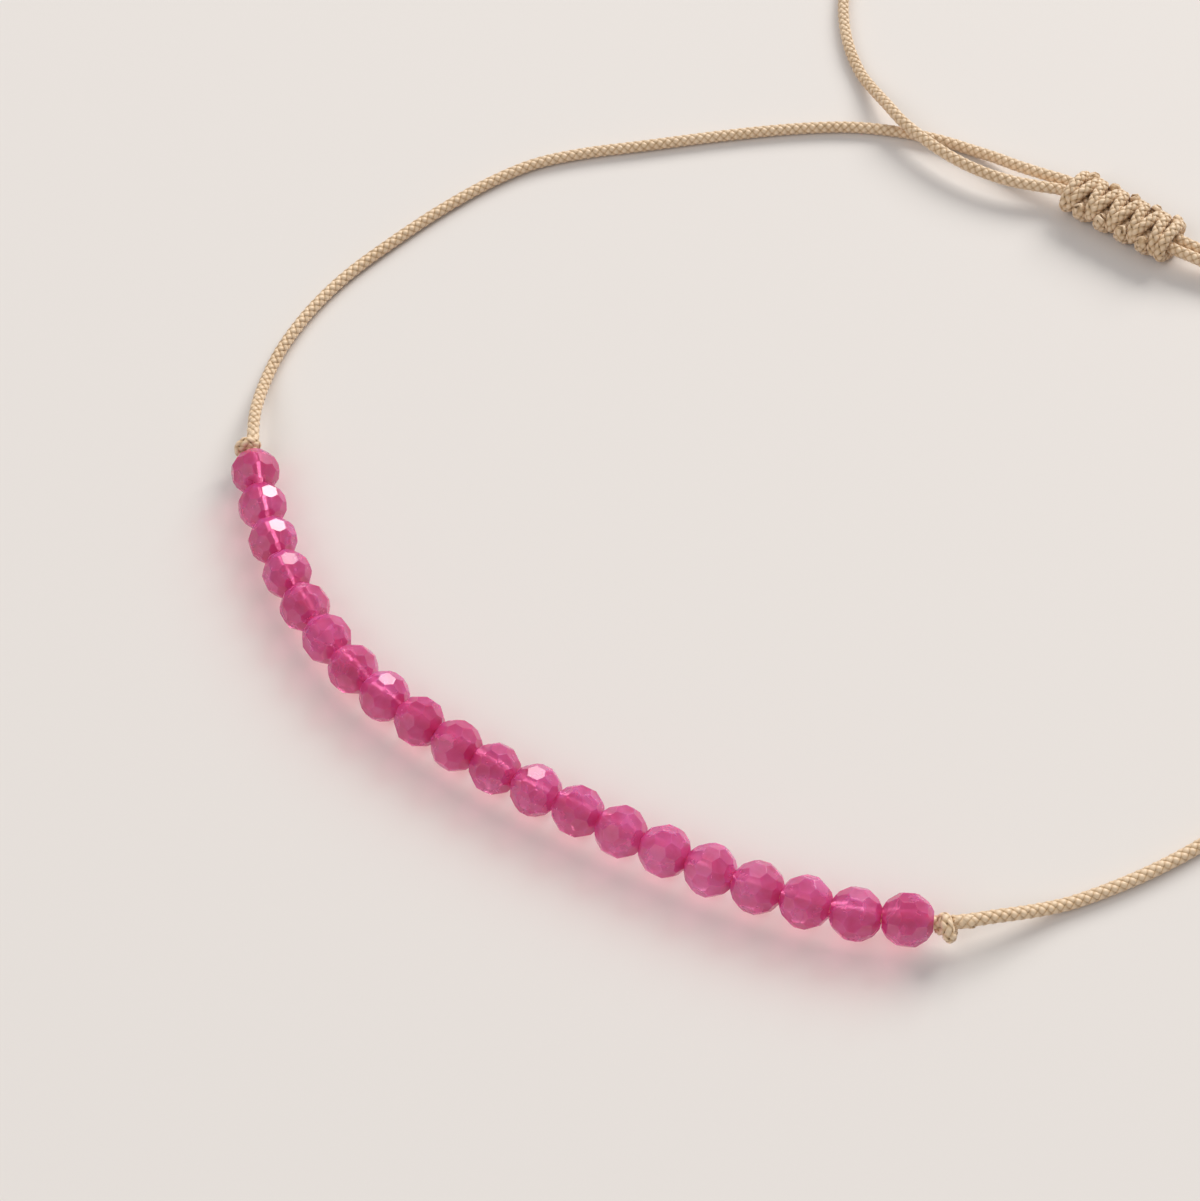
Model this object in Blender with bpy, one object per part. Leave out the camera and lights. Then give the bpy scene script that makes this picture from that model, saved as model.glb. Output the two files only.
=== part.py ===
# A bracelet of small faceted gemstone beads on a braided cord, which a knotted sliding clasp closes.
# It lies open in a ring on a table. Units are metres and +Z is up. The table is z = 0, and the origin
# is on it, in the middle of the ring's box. The bead row is the near left side of the ring, +X runs to
# the right of someone who looks at it, and +Y away from them.

import math
import random

import bmesh
import bpy
from mathutils import Matrix, Vector

# Beads: each is one stone, cut with flat facets and drilled through
BEAD_COUNT = 20
BEAD_DIAMETER = 0.0025          # mean width of a cut bead, square to its hole
BEAD_LENGTH = 0.00235           # between the two flat ends round the hole
BEAD_GAP = 0.00006              # bare cord between the flat ends of two beads
FACET_REACH = 0.98              # distance of a facet from the bead's middle, as a share of the radius
FACETS_ROUND = 10               # facets in the rings at and beside the girdle
SHOULDER_ANGLE = math.radians(32)   # lean of the rings on either side of the girdle
CROWN_ANGLE = math.radians(61)      # lean of the rings beside the flat ends
FACET_WOBBLE = math.radians(2.5)    # how far a hand-held facet leans from its true angle, at most
CUTTING_SEED = 11
DRILL_SIDES = 10

# Cord: one braided cord, drawn thin through the beads
CORD_DIAMETER = 0.0007
THREADED_DIAMETER = 0.0005      # where the holes squeeze it
HOLE_CLEARANCE = 0.00008        # between the squeezed cord and its hole, all round
TOUCH_GAP = 0.00006             # left between two pieces that meet or cross
CURVE_SPACING = 2.5             # distance between a tube's points, in its own diameters
SMOOTHING_STEPS = 14            # short straight pieces between two points of a route

# Knots: one on each side of the bead row and one on each free end
KNOT_LENGTH = 0.0013
KNOT_WRAP = 0.0004              # thickness of the turn that lies round the cord
KNOT_BULGE = 0.00030            # how far the knot's belly stands to the outer side of the ring
KNOT_RIDGE = 0.00007            # height of the slanting turns
KNOT_RINGS = 8
KNOT_SIDES = 12

# Sliding clasp: square knots tied round both strands of the cord
CLASP_KNOTS = 5
CLASP_KNOT_LENGTH = 0.0014
TYING_THICKNESS = 0.00062       # of the cord that is tied round the strands, pulled tight
CLASP_GROOVE = 0.00030          # depth of the groove between two knots
CLASP_END_SWELL = 0.00015       # how much prouder the first and the last knot stand
CLASP_SIDES = 16
PASSAGE_CLEARANCE = 0.00006     # between the strands and the passage through the clasp

# Where the ring leaves and meets the table
KNOT_SLOPE = 0.0060             # length over which the cord comes down from a knot to the table
CLASP_SLOPE = 0.0070            # length over which it climbs to the clasp's passage
CROSSING_SLOPE = 0.0055         # length over which the free end comes down from the strand it crosses
TAIL_LENGTH = 0.0320            # each free end, from the clasp to its knot

# The ring as it lies, seen from above: chosen points of the cord's route, and where the clasp sits.
# The cord runs from the clasp along the left arm, the bead row and the right arm, back to the clasp.
CLASP_CENTRE = (0.0203, 0.0167)
CLASP_HEADING = math.radians(-46)
CLASP_LEAD = 0.0004             # straight stretch of the cord at either mouth of the clasp
LEFT_ARM = [
    (0.0167, 0.0206), (0.0155, 0.0216), (0.0139, 0.0231), (0.0118, 0.0246), (0.0094, 0.0258),
    (0.0066, 0.0267), (0.0034, 0.0271), (-0.0010, 0.0272), (-0.0055, 0.0271), (-0.0096, 0.0270),
    (-0.0123, 0.0266), (-0.0148, 0.0256), (-0.0177, 0.0239), (-0.0209, 0.0216), (-0.0239, 0.0191),
    (-0.0262, 0.0164), (-0.0280, 0.0132), (-0.0288, 0.0100), (-0.0290, 0.0072),
]
BEAD_ROW = [
    (-0.0289, 0.0048), (-0.0280, 0.0000), (-0.0264, -0.0045), (-0.0241, -0.0086), (-0.0210, -0.0121),
    (-0.0175, -0.0153), (-0.0136, -0.0183), (-0.0096, -0.0211), (-0.0055, -0.0236), (-0.0011, -0.0256),
    (0.0012, -0.0262),
]
RIGHT_ARM = [
    (0.0036, -0.0266), (0.0058, -0.0264), (0.0081, -0.0260), (0.0106, -0.0254), (0.0131, -0.0246),
    (0.0157, -0.0235), (0.0190, -0.0217), (0.0225, -0.0192), (0.0254, -0.0160), (0.0276, -0.0124),
    (0.0291, -0.0084), (0.0299, -0.0042), (0.0301, 0.0001), (0.0295, 0.0043), (0.0280, 0.0082),
    (0.0258, 0.0112),
]
# The free ends, from the mouth of the clasp outwards
LEFT_TAIL = [
    (0.0161, 0.0197), (0.0147, 0.0203), (0.0134, 0.0211), (0.0122, 0.0221), (0.0111, 0.0233),
    (0.0101, 0.0247), (0.0092, 0.0262), (0.0086, 0.0278), (0.0081, 0.0294), (0.0076, 0.0313),
    (0.0073, 0.0334), (0.0073, 0.0356), (0.0076, 0.0379), (0.0082, 0.0402), (0.0090, 0.0424),
    (0.0100, 0.0446),
]
RIGHT_TAIL = [
    (0.0257, 0.0124), (0.0286, 0.0109), (0.0318, 0.0105), (0.0349, 0.0111), (0.0377, 0.0127),
    (0.0399, 0.0150), (0.0413, 0.0178), (0.0419, 0.0208), (0.0419, 0.0239), (0.0414, 0.0270),
    (0.0406, 0.0300),
]

# Colours, roughness and metallic value of each finish
FINISHES = {
    "gemstone": ((0.50, 0.035, 0.17, 1.0), 0.08, 0.0),
    "cord": ((0.62, 0.43, 0.24, 1.0), 0.55, 0.0),
}

# Sizes worked out from the ones above
bead_pitch = BEAD_LENGTH + BEAD_GAP
row_half_length = (BEAD_COUNT * bead_pitch - BEAD_GAP) / 2
drill_radius = THREADED_DIAMETER / 2 + HOLE_CLEARANCE
cord_radius = CORD_DIAMETER / 2
knot_radius = cord_radius + KNOT_WRAP
strand_offset = (CORD_DIAMETER + TOUCH_GAP) / 2
passage_half_width = strand_offset + cord_radius + PASSAGE_CLEARANCE
passage_half_height = cord_radius + PASSAGE_CLEARANCE
passage_height = passage_half_height + TYING_THICKNESS
clasp_half_width = passage_half_width + TYING_THICKNESS
clasp_top = passage_height + passage_half_height + TYING_THICKNESS
clasp_length = CLASP_KNOTS * CLASP_KNOT_LENGTH


def clear_scene():
    for item in list(bpy.data.objects):
        bpy.data.objects.remove(item, do_unlink=True)


def new_collection(name):
    collection = bpy.data.collections.new(name)
    bpy.context.scene.collection.children.link(collection)
    return collection


def new_material(name):
    colour, roughness, metallic = FINISHES[name]
    material = bpy.data.materials.new(name)
    material.use_nodes = True
    shader = material.node_tree.nodes["Principled BSDF"]
    shader.inputs["Base Color"].default_value = colour
    shader.inputs["Roughness"].default_value = roughness
    shader.inputs["Metallic"].default_value = metallic
    material.diffuse_color = colour
    return material


def add_object(name, data, material, parent, collection):
    item = bpy.data.objects.new(name, data)
    data.materials.append(material)
    item.parent = parent
    collection.objects.link(item)
    return item


class Line:
    """A smooth line through chosen points, read by the distance along it."""

    def __init__(self, points):
        self.points = smooth(points)
        self.reach = [0.0]
        for start, end in zip(self.points, self.points[1:]):
            self.reach.append(self.reach[-1] + (end - start).length)

    def at(self, distance):
        for index in range(1, len(self.reach)):
            if distance <= self.reach[index]:
                break
        step = self.reach[index] - self.reach[index - 1]
        share = (distance - self.reach[index - 1]) / step
        return self.points[index - 1].lerp(self.points[index], share)

    def heading(self, distance):
        half_step = BEAD_LENGTH / 4
        return (self.at(distance + half_step) - self.at(distance - half_step)).normalized()

    def nearest(self, point):
        index = min(range(len(self.points)), key=lambda i: (self.points[i] - point).length)
        return self.reach[index]

    def crossing(self, other, start):
        """Distance along this line, past a start, at which it comes closest to the other line."""
        beyond = [i for i, distance in enumerate(self.reach) if distance > start]
        index = min(beyond, key=lambda i: min((self.points[i] - point).length for point in other.points))
        return self.reach[index]


def smooth(points):
    """A centripetal Catmull-Rom curve through the points, as short straight pieces."""
    points = [Vector((x, y, 0)) for x, y in points]
    points = [2 * points[0] - points[1]] + points + [2 * points[-1] - points[-2]]
    line = [points[1]]
    for a, b, c, d in zip(points, points[1:], points[2:], points[3:]):
        knot_b = math.sqrt((b - a).length)
        knot_c = knot_b + math.sqrt((c - b).length)
        knot_d = knot_c + math.sqrt((d - c).length)
        for step in range(1, SMOOTHING_STEPS + 1):
            t = knot_b + (knot_c - knot_b) * step / SMOOTHING_STEPS
            ab = a.lerp(b, t / knot_b)
            bc = b.lerp(c, (t - knot_b) / (knot_c - knot_b))
            cd = c.lerp(d, (t - knot_c) / (knot_d - knot_c))
            abc = ab.lerp(bc, t / knot_c)
            bcd = bc.lerp(cd, (t - knot_b) / (knot_d - knot_b))
            line.append(abc.lerp(bcd, (t - knot_b) / (knot_c - knot_b)))
    return line


def height_at(levels, distance):
    """Height over the table, eased from one (distance, height) row of levels to the next."""
    if distance <= levels[0][0]:
        return levels[0][1]
    for (start, low), (end, high) in zip(levels, levels[1:]):
        if distance <= end:
            share = (distance - start) / (end - start)
            return low + (high - low) * share * share * (3 - 2 * share)
    return levels[-1][1]


def clasp_strand(side):
    """Points of the strand on one side of the clasp's middle, from its left mouth to its right one."""
    along = Vector((math.cos(CLASP_HEADING), math.sin(CLASP_HEADING)))
    across = Vector((-along.y, along.x))
    middle = Vector(CLASP_CENTRE) + across * strand_offset * side
    half = clasp_length / 2
    stations = (-half - CLASP_LEAD, -half, 0, half, half + CLASP_LEAD)
    return [tuple(middle + along * station) for station in stations]


def tube(name, line, start, end, levels, diameter, material, parent, collection):
    """A cord between two distances along a line, at the heights that levels gives."""
    count = max(2, math.ceil((end - start) / (CURVE_SPACING * diameter)) + 1)
    curve = bpy.data.curves.new(name, "CURVE")
    curve.dimensions = "3D"
    curve.bevel_depth = diameter / 2
    curve.bevel_resolution = 2
    curve.use_fill_caps = True
    spline = curve.splines.new("POLY")
    spline.points.add(count - 1)
    for index, point in enumerate(spline.points):
        distance = start + (end - start) * index / (count - 1)
        place = line.at(distance)
        point.co = (place.x, place.y, height_at(levels, distance), 1)
    return add_object(name, curve, material, parent, collection)


def loft(name, rings, closed, material, parent, collection):
    """A skin over rings of as many points each. Closed joins the last ring to the first."""
    bm = bmesh.new()
    rows = [[bm.verts.new(point) for point in ring] for ring in rings]
    pairs = list(zip(rows, rows[1:]))
    if closed:
        pairs.append((rows[-1], rows[0]))
    else:
        bm.faces.new(rows[0][::-1])
        bm.faces.new(rows[-1])
    for near, far in pairs:
        for side in range(len(near)):
            after = (side + 1) % len(near)
            bm.faces.new((near[side], near[after], far[after], far[side]))
    bmesh.ops.recalc_face_normals(bm, faces=bm.faces)
    mesh = bpy.data.meshes.new(name)
    bm.to_mesh(mesh)
    bm.free()
    mesh.shade_smooth()
    mesh.set_sharp_from_angle(angle=math.radians(50))
    return add_object(name, mesh, material, parent, collection)


def facet_normals(chance):
    """Directions of a bead's facets, with its hole along Z, each a little off its true angle."""
    rings = [
        (0.0, FACETS_ROUND, 0.0),
        (SHOULDER_ANGLE, FACETS_ROUND, 0.5),
        (-SHOULDER_ANGLE, FACETS_ROUND, 0.5),
        (CROWN_ANGLE, FACETS_ROUND // 2, 0.25),
        (-CROWN_ANGLE, FACETS_ROUND // 2, 0.25),
    ]
    for lean, count, shift in rings:
        for index in range(count):
            turn = math.tau * (index + shift) / count + chance.uniform(-FACET_WOBBLE, FACET_WOBBLE)
            tilt = lean + chance.uniform(-FACET_WOBBLE, FACET_WOBBLE)
            yield Vector((
                math.cos(tilt) * math.cos(turn),
                math.cos(tilt) * math.sin(turn),
                math.sin(tilt),
            ))


def slice_off(bm, place, normal):
    """Grind away what lies beyond a plane, and close the cut with one flat face."""
    everything = bm.verts[:] + bm.edges[:] + bm.faces[:]
    bmesh.ops.bisect_plane(
        bm, geom=everything, dist=1e-8, plane_co=place, plane_no=normal, clear_outer=True
    )
    rim = [edge for edge in bm.edges if edge.is_boundary]
    if rim:
        bmesh.ops.holes_fill(bm, edges=rim, sides=0)


def cut_stone(name, chance):
    """A bead cut from a block: two flat ends, then one plane for each facet."""
    bm = bmesh.new()
    bmesh.ops.create_cube(bm, size=2 * BEAD_DIAMETER)
    for end in (1, -1):
        slice_off(bm, Vector((0, 0, end * BEAD_LENGTH / 2)), Vector((0, 0, end)))
    for normal in facet_normals(chance):
        slice_off(bm, normal * FACET_REACH * BEAD_DIAMETER / 2, normal)
    bmesh.ops.recalc_face_normals(bm, faces=bm.faces)
    mesh = bpy.data.meshes.new(name)
    bm.to_mesh(mesh)
    bm.free()
    return mesh


def make_drill(collection):
    bpy.ops.mesh.primitive_cylinder_add(
        vertices=DRILL_SIDES, radius=drill_radius, depth=2 * BEAD_LENGTH, location=(0, 0, 0)
    )
    drill = bpy.context.object
    drill.name = "bead_drill"
    for holder in list(drill.users_collection):
        holder.objects.unlink(drill)
    collection.objects.link(drill)
    drill.hide_render = True
    drill.display_type = "WIRE"
    return drill


def drilled(stone, drill):
    """The stone with its hole, as a plain mesh."""
    blank = bpy.data.objects.new(stone.name + "_blank", stone)
    bpy.context.scene.collection.objects.link(blank)
    cut = blank.modifiers.new("hole", "BOOLEAN")
    cut.operation = "DIFFERENCE"
    cut.solver = "EXACT"
    cut.object = drill
    depsgraph = bpy.context.evaluated_depsgraph_get()
    mesh = bpy.data.meshes.new_from_object(blank.evaluated_get(depsgraph))
    bpy.data.objects.remove(blank, do_unlink=True)
    mesh.materials.clear()
    return mesh


def make_bead_row(line, middle, material, parent, collection, cutters):
    """Cut, drill and thread the beads. Gives the height of their holes over the table."""
    chance = random.Random(CUTTING_SEED)
    drill = make_drill(cutters)
    stones = [
        drilled(cut_stone(f"bead_{number + 1:02d}", chance), drill) for number in range(BEAD_COUNT)
    ]
    row_height = max(corner.co.xy.length for stone in stones for corner in stone.vertices)
    for number, stone in enumerate(stones):
        distance = middle + (number - (BEAD_COUNT - 1) / 2) * bead_pitch
        place = line.at(distance)
        bead = add_object(f"bead_{number + 1:02d}", stone, material, parent, collection)
        turn = Matrix.Rotation(chance.uniform(0, math.tau), 4, "Z")
        aim = line.heading(distance).to_track_quat("Z", "X").to_matrix().to_4x4()
        bead.matrix_local = Matrix.Translation((place.x, place.y, row_height)) @ aim @ turn
    return row_height


def make_knot(name, line, start, outer, height, material, parent, collection):
    """A tight overhand knot that fills KNOT_LENGTH of a line, bulging to the outer side (1 or -1)."""
    middle = start + KNOT_LENGTH / 2
    along = line.heading(middle)
    across = Vector((-along.y, along.x, 0)) * outer
    up = Vector((0, 0, 1))
    rings = []
    for index in range(KNOT_RINGS):
        station = -0.5 * math.cos(math.pi * index / (KNOT_RINGS - 1))
        belly = math.sqrt(max(0.0, 1 - abs(2 * station) ** 3))
        centre = line.at(middle) + up * height + along * KNOT_LENGTH * station
        centre += across * KNOT_BULGE * belly
        radius = cord_radius + (KNOT_WRAP - KNOT_RIDGE) * belly
        ring = []
        for side in range(KNOT_SIDES):
            angle = math.tau * side / KNOT_SIDES
            ridge = KNOT_RIDGE * belly * math.cos(2 * angle - math.tau * station)
            ring.append(centre + (across * math.cos(angle) + up * math.sin(angle)) * (radius + ridge))
        rings.append(ring)
    return loft(name, rings, False, material, parent, collection)


def clasp_section(station, half_width, top):
    """One ring round the clasp at a distance along it, flat where it lies on the table."""
    ring = []
    for side in range(CLASP_SIDES):
        angle = math.tau * (side + 0.5) / CLASP_SIDES
        across = math.copysign(abs(math.cos(angle)) ** 0.75, math.cos(angle)) * half_width
        up = math.copysign(abs(math.sin(angle)) ** 0.75, math.sin(angle))
        rise = up * (top - passage_height) if up > 0 else up * passage_height * 1.25
        ring.append(Vector((station, across, max(0.0, passage_height + rise))))
    return ring


def make_clasp(material, parent, collection):
    """A row of square knots round a passage that both strands of the cord run through."""
    phases = (0.0, 0.12, 0.3, 0.5, 0.7, 0.88)
    rings = []
    for knot in range(CLASP_KNOTS):
        swell = CLASP_END_SWELL if knot in (0, CLASP_KNOTS - 1) else 0.0
        for phase in phases:
            arch = math.sqrt(math.sin(math.pi * phase))
            growth = swell * arch - CLASP_GROOVE * (1 - arch)
            station = (knot + phase) * CLASP_KNOT_LENGTH - clasp_length / 2
            rings.append(clasp_section(station, clasp_half_width + growth, clasp_top + growth))
    last = clasp_length / 2
    rings.append(clasp_section(last, clasp_half_width - CLASP_GROOVE, clasp_top - CLASP_GROOVE))
    for station in (last, -last):
        ring = []
        for side in range(CLASP_SIDES):
            angle = math.tau * (side + 0.5) / CLASP_SIDES
            across = math.copysign(abs(math.cos(angle)) ** 0.65, math.cos(angle)) * passage_half_width
            rise = math.copysign(abs(math.sin(angle)) ** 0.65, math.sin(angle)) * passage_half_height
            ring.append(Vector((station, across, passage_height + rise)))
        rings.append(ring)
    clasp = loft("sliding_clasp", rings, True, material, parent, collection)
    clasp.location = (*CLASP_CENTRE, 0)
    clasp.rotation_euler = (0, 0, CLASP_HEADING)
    return clasp


def make_bracelet():
    clear_scene()
    collection = new_collection("gemstone_bead_bracelet")
    cutters = new_collection("cutters")
    gemstone = new_material("gemstone")
    cord = new_material("cord")
    ring = bpy.data.objects.new("bracelet", None)
    collection.objects.link(ring)

    outer_strand = clasp_strand(1)
    inner_strand = clasp_strand(-1)
    loop = Line(outer_strand[::-1] + LEFT_ARM + BEAD_ROW + RIGHT_ARM + inner_strand[::-1])
    first_bead = loop.nearest(Vector((*BEAD_ROW[0], 0)))
    last_bead = loop.nearest(Vector((*BEAD_ROW[-1], 0)))
    middle = (first_bead + last_bead) / 2
    row_height = make_bead_row(loop, middle, gemstone, ring, collection, cutters)

    # The cord through the beads, and the knots that close the row
    row_start = middle - row_half_length - BEAD_GAP
    row_end = middle + row_half_length + BEAD_GAP
    flat = [(0.0, row_height)]
    tube("bead_cord", loop, row_start + TOUCH_GAP, row_end - TOUCH_GAP, flat, THREADED_DIAMETER, cord,
         ring, collection)
    make_knot("knot_left", loop, row_start - KNOT_LENGTH, -1, row_height, cord, ring, collection)
    make_knot("knot_right", loop, row_end, -1, row_height, cord, ring, collection)

    # The two arms, each from its knot to the far mouth of the clasp
    left_start = CLASP_LEAD
    left_mouth = CLASP_LEAD + clasp_length
    right_end = loop.reach[-1] - CLASP_LEAD
    right_mouth = right_end - clasp_length
    left_knot = row_start - KNOT_LENGTH - TOUCH_GAP
    right_knot = row_end + KNOT_LENGTH + TOUCH_GAP
    levels = [
        (left_mouth + CLASP_LEAD, passage_height),
        (left_mouth + CLASP_LEAD + CLASP_SLOPE, cord_radius),
        (left_knot - KNOT_SLOPE, cord_radius),
        (left_knot, row_height),
        (right_knot, row_height),
        (right_knot + KNOT_SLOPE, cord_radius),
        (right_mouth - CLASP_LEAD - CLASP_SLOPE, cord_radius),
        (right_mouth - CLASP_LEAD, passage_height),
    ]
    tube("cord_left", loop, left_start, left_knot, levels, CORD_DIAMETER, cord, ring, collection)
    tube("cord_right", loop, right_knot, right_end, levels, CORD_DIAMETER, cord, ring, collection)
    make_clasp(cord, ring, collection)

    # The free ends: the left one climbs over the left arm, and each ends in a knot on the table
    knot_height = knot_radius
    tail_start = CLASP_LEAD + clasp_length + TOUCH_GAP
    tail_end = tail_start + TAIL_LENGTH
    over_strand = cord_radius + CORD_DIAMETER + TOUCH_GAP
    left_line = Line(inner_strand[::-1] + LEFT_TAIL)
    crossing = left_line.crossing(loop, tail_start + CLASP_SLOPE)
    left_levels = [
        (tail_start, passage_height),
        (crossing - CORD_DIAMETER, over_strand),
        (crossing + CORD_DIAMETER, over_strand),
        (crossing + CORD_DIAMETER + CROSSING_SLOPE, cord_radius),
        (tail_end - CLASP_LEAD, cord_radius),
        (tail_end, knot_height),
    ]
    right_line = Line(outer_strand + RIGHT_TAIL)
    right_levels = [
        (tail_start, passage_height),
        (tail_start + CLASP_SLOPE, cord_radius),
        (tail_end - CLASP_LEAD, cord_radius),
        (tail_end, knot_height),
    ]
    for side, line, tail_levels in (("left", left_line, left_levels), ("right", right_line, right_levels)):
        tube(f"tail_{side}", line, tail_start, tail_end, tail_levels, CORD_DIAMETER, cord, ring,
             collection)
        make_knot(f"tail_knot_{side}", line, tail_end + TOUCH_GAP, 1, knot_height, cord, ring,
                  collection)


make_bracelet()
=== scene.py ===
# %% [markdown]
# # A bracelet of small faceted stones on a braided cord
#
# This lesson dresses a finished model of a bracelet. The model's solids come first: twenty cut stones, the
# cord in its pieces, two knots beside the row, a sliding clasp, and two free ends with a knot on each.
# They are right in size and place, but plain. What the eye wants is the weave of the cord, the real knots,
# and stones that let light through. Everything here is in metres, and the table is z = 0.

# %% Load the model
import math

import bmesh
import bpy
from mathutils import Matrix, Vector


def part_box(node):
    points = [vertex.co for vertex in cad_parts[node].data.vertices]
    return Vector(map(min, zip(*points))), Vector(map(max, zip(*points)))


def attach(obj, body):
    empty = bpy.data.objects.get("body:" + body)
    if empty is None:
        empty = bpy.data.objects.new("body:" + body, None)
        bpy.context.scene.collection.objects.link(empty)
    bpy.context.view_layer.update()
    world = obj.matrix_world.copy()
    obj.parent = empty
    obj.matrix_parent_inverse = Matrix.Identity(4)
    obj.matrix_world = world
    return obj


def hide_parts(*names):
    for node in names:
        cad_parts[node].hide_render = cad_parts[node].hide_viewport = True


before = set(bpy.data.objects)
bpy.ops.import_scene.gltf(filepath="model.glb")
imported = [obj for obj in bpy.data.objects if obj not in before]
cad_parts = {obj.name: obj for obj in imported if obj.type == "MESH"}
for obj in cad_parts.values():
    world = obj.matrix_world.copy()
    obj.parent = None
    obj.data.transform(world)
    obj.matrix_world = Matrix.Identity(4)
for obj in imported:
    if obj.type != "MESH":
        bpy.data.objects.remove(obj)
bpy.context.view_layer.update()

# %% [markdown]
# ## Where the camera stands
#
# A photograph of a small jewel is taken from close by with a long lens. The camera here looks down at the
# ring by 54 degrees and is rolled by 6 degrees. A camera object looks along its own -Z, so its matrix is
# written from three directions: right, up and back.

# %% The camera
CAMERA_PLACE = Vector((-0.01132, -0.08380, 0.10904))
CAMERA_TILT = math.radians(54.18)      # below the horizon
CAMERA_ROLL = math.radians(6.33)
CAMERA_LENS = 77.94                    # millimetres, on a sensor 36 mm wide

camera_back = Vector((0, -math.cos(CAMERA_TILT), math.sin(CAMERA_TILT)))
level_right = Vector((1, 0, 0))
level_up = camera_back.cross(level_right)
camera_right = level_right * math.cos(CAMERA_ROLL) - level_up * math.sin(CAMERA_ROLL)
camera_up = level_right * math.sin(CAMERA_ROLL) + level_up * math.cos(CAMERA_ROLL)

lens = bpy.data.cameras.new("camera")
lens.lens = CAMERA_LENS
lens.sensor_width = 36
lens.clip_start = 0.001
camera = bpy.data.objects.new("camera", lens)
bpy.context.scene.collection.objects.link(camera)
turn = Matrix((camera_right, camera_up, camera_back)).transposed().to_4x4()
camera.matrix_world = Matrix.Translation(CAMERA_PLACE) @ turn
bpy.context.scene.camera = camera
print(f"camera {CAMERA_PLACE.length * 1000:.0f} mm from the model's origin")

# %% [markdown]
# ## Writing nodes as expressions
#
# Node trees are clearer as arithmetic than as lists of links. A Wire stands for one output socket. Adding
# or multiplying wires adds a Math node, or a Vector Math node where one of them is a vector, and `node`
# makes any other node from its type, its settings and what goes into its sockets.

# %% The wire class
class Wire:
    """An output socket of a node tree that takes part in expressions."""

    def __init__(self, tree, socket=None):
        self.tree = tree
        self.socket = socket

    def node(self, kind, settings=None, values=None, output=0):
        """Add a node. Settings are set first. Values go to sockets by name or by number."""
        node = self.tree.nodes.new(kind)
        for name, value in (settings or {}).items():
            setattr(node, name, value)
        for name, value in (values or {}).items():
            self.feed(node.inputs[name], value)
        return Wire(self.tree, node.outputs[output])

    def feed(self, target, value):
        if isinstance(value, Wire):
            self.tree.links.new(value.socket, target)
        else:
            target.default_value = value

    def joined(self, operation, other, reflected=False):
        first, second = (other, self) if reflected else (self, other)
        sockets = [wire.socket for wire in (self, other) if isinstance(wire, Wire)]
        if any(socket.type == "VECTOR" for socket in sockets):
            if operation == "MULTIPLY" and not all(is_vector(wire) for wire in (first, second)):
                vector, factor = (first, second) if is_vector(first) else (second, first)
                values = {"Vector": vector, "Scale": factor}
                return self.node("ShaderNodeVectorMath", {"operation": "SCALE"}, values)
            return self.node("ShaderNodeVectorMath", {"operation": operation}, {0: first, 1: second})
        return self.node("ShaderNodeMath", {"operation": operation}, {0: first, 1: second})

    def __add__(self, other):
        return self.joined("ADD", other)

    def __sub__(self, other):
        return self.joined("SUBTRACT", other)

    def __rsub__(self, other):
        return self.joined("SUBTRACT", other, reflected=True)

    def __mul__(self, other):
        return self.joined("MULTIPLY", other)

    def __truediv__(self, other):
        return self.joined("DIVIDE", other)

    __radd__ = __add__
    __rmul__ = __mul__

    def math(self, operation, *others):
        values = dict(enumerate((self, *others)))
        return self.node("ShaderNodeMath", {"operation": operation}, values)

    def vector(self, operation, *others, output=0):
        values = dict(enumerate((self, *others)))
        return self.node("ShaderNodeVectorMath", {"operation": operation}, values, output)

    def between(self, low, high):
        """This value as a share of the way from low to high, kept between 0 and 1."""
        values = {"Value": self, "From Min": low, "From Max": high}
        return self.node("ShaderNodeMapRange", {"interpolation_type": "SMOOTHSTEP"}, values)

    def blend(self, first, second):
        """From the first colour to the second as this value goes from 0 to 1."""
        values = {0: self, 6: first, 7: second}
        return self.node("ShaderNodeMix", {"data_type": "RGBA"}, values, output=2)


def is_vector(value):
    if isinstance(value, Wire):
        return value.socket.type == "VECTOR"
    return hasattr(value, "__len__")


def new_material(name):
    """A material, a wire to start its maths from, and its Principled shader."""
    material = bpy.data.materials.new(name)
    material.use_nodes = True
    shader = material.node_tree.nodes["Principled BSDF"]
    return material, Wire(material.node_tree), shader

# %% [markdown]
# ## The nylon of the cord
#
# The cord is braided from silky champagne-coloured yarns. A yarn is a bundle of fine filaments, so it
# shines along its length. Its colour is painted darker where it dives under its neighbour, as painted
# shade, and lighter on its crests, as painted light. The braid that is built below hands over three
# attributes for
# this: how high a point stands in the braid, how far it is along its yarn, and where it is round the yarn.

# %% The cord's material
# The light and dark tones are painted light on the crests of the braid and painted shade in its crevices.
YARN_CREST_LIGHT = (0.84, 0.63, 0.42, 1)
YARN_MIDDLE = (0.60, 0.395, 0.21, 1)
YARN_CREVICE_SHADE = (0.30, 0.17, 0.08, 1)
FILAMENTS = 5.0                        # how often the filaments' pattern changes round a yarn
FILAMENT_LENGTH = 0.0006
FILAMENT_RELIEF = 0.00001              # how far the filaments stand out
TONE_SIZE = 0.004                      # of the slow changes of tone along the cord
TONE_CONTRAST = 0.10                   # how strongly filaments and slow changes shift the shade
DIVE_RANGE = (0.72, 0.88)              # heights in the braid, from the dark tone to the middle one
CREST_RANGE = (0.86, 1.0)              # and from the middle tone to the light one
YARN_ROUGHNESS = 0.36


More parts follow.
